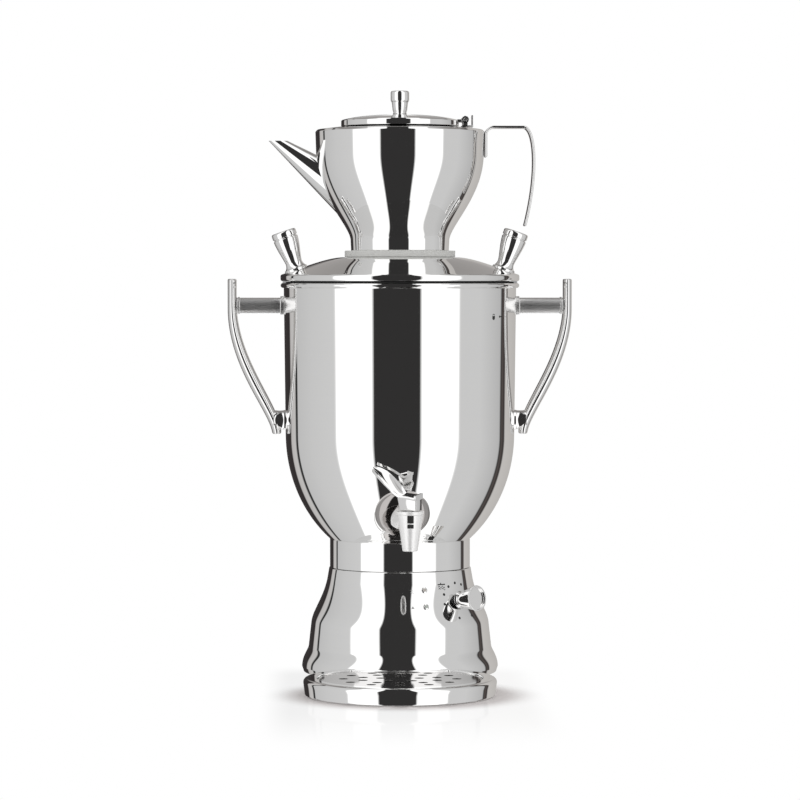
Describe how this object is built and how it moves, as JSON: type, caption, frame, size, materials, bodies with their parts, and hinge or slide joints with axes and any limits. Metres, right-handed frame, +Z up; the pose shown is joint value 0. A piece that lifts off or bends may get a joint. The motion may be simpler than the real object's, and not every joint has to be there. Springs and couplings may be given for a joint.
{
  "type": "electric samovar",
  "caption": "Electric samovar of polished steel: heated base with dial, pot-bellied vessel with a lever tap, locking lid, hinged-lid teapot on top and a loose perforated drip tray.",
  "frame": {"origin": "on the vessel's axis, at the height of the foot soles, under the centre of the base plate", "axes": "+Z up along the vessel's axis; -Y towards the tap and the user; the handles lie along X, with the spout towards -X and the teapot's handle towards +X"},
  "size_m": [0.2756, 0.3001, 0.4689],
  "materials": {
    "polished_steel": "polished",
    "satin_steel": "satin",
    "black_plastic": "matt",
    "black_rubber": "matt",
    "pale_silicone": "satin",
    "dark_silicone": "satin",
    "aluminium": "cast",
    "element_steel": "oxidised",
    "amber_lens": "clear",
    "green_lens": "clear"
  },
  "bodies": {
    "urn": {"base_housing": "polished_steel", "base_plate": "black_plastic", "cord_gland": "black_plastic", "foot_1": "black_rubber", "foot_2": "black_rubber", "foot_3": "black_rubber", "foot_4": "black_rubber", "handle_arm_left": "polished_steel", "handle_arm_right": "polished_steel", "handle_bar_left": "polished_steel", "handle_bar_right": "polished_steel", "handle_screw_lower_left": "satin_steel", "handle_screw_lower_right": "satin_steel", "handle_screw_upper_left": "satin_steel", "handle_screw_upper_right": "satin_steel", "heat_regulator": "black_plastic", "heater_plate": "aluminium", "heating_element": "element_steel", "lamp_bezel_lower": "polished_steel", "lamp_bezel_upper": "polished_steel", "lamp_lens_lower": "green_lens", "lamp_lens_upper": "amber_lens", "neck_ring": "polished_steel", "tap_body": "satin_steel", "tap_gasket": "pale_silicone", "tap_nut": "satin_steel", "tap_rosette": "polished_steel", "tap_sleeve": "pale_silicone", "terminal_block": "black_plastic", "thermal_cutout": "black_plastic", "tie_screw_1": "satin_steel", "tie_screw_2": "satin_steel", "tie_screw_3": "satin_steel", "vessel": "polished_steel"},
    "lid_seal": {"lid_gasket": "dark_silicone"},
    "lid": {"vessel_lid": "polished_steel", "lid_seat_ring": "pale_silicone", "lid_knob_left": "polished_steel", "lid_knob_right": "polished_steel", "lid_knob_screw_left": "satin_steel", "lid_knob_screw_right": "satin_steel"},
    "teapot": {"teapot_body": "polished_steel", "teapot_spout": "polished_steel", "teapot_handle": "polished_steel", "hinge_leaf": "polished_steel", "hinge_pin": "satin_steel"},
    "teapot_cover": {"teapot_lid": "polished_steel", "teapot_lid_knob": "polished_steel", "teapot_knob_screw": "satin_steel"},
    "dial": {"dial_knob": "polished_steel", "dial_shaft": "satin_steel"},
    "tap_valve": {"tap_lever": "polished_steel", "tap_plug": "satin_steel", "lever_screw": "satin_steel"},
    "tray": {"drip_tray": "polished_steel", "tray_pad_1": "black_rubber", "tray_pad_2": "black_rubber", "tray_pad_3": "black_rubber"},
    "grate": {"drip_grate": "satin_steel"}
  },
  "joints": [
    {"name": "lid_lift", "type": "slide", "parent": "urn", "child": "lid_seal", "axis": [0, 0, 1], "range_m": [0, 0.09]},
    {"name": "lid_turn", "type": "hinge", "parent": "lid_seal", "child": "lid", "pos_m": [0, 0, 0.336], "axis": [0, 0, 1], "range_deg": [-15, 0]},
    {"name": "teapot_lift", "type": "slide", "parent": "lid", "child": "teapot", "axis": [0, 0, 1], "range_m": [0, 0.06]},
    {"name": "teapot_lid_hinge", "type": "hinge", "parent": "teapot", "child": "teapot_cover", "pos_m": [0.052, 0, 0.4458], "axis": [0, 1, 0], "range_deg": [0, 100]},
    {"name": "tap_turn", "type": "hinge", "parent": "urn", "child": "tap_valve", "pos_m": [0.00487, -0.11519, 0.1406], "axis": [0, 0, 1], "range_deg": [0, 90]},
    {"name": "dial_turn", "type": "hinge", "parent": "urn", "child": "dial", "pos_m": [0.04393, -0.04471, 0.065], "axis": [0.6949, -0.7071, 0.1305], "range_deg": [0, 270]},
    {"name": "tray_slide", "type": "slide", "parent": "urn", "child": "tray", "axis": [0, -1, 0], "range_m": [0, 0.06]},
    {"name": "grate_lift", "type": "slide", "parent": "tray", "child": "grate", "axis": [0, 0, 1], "range_m": [0, 0.03]}
  ]
}
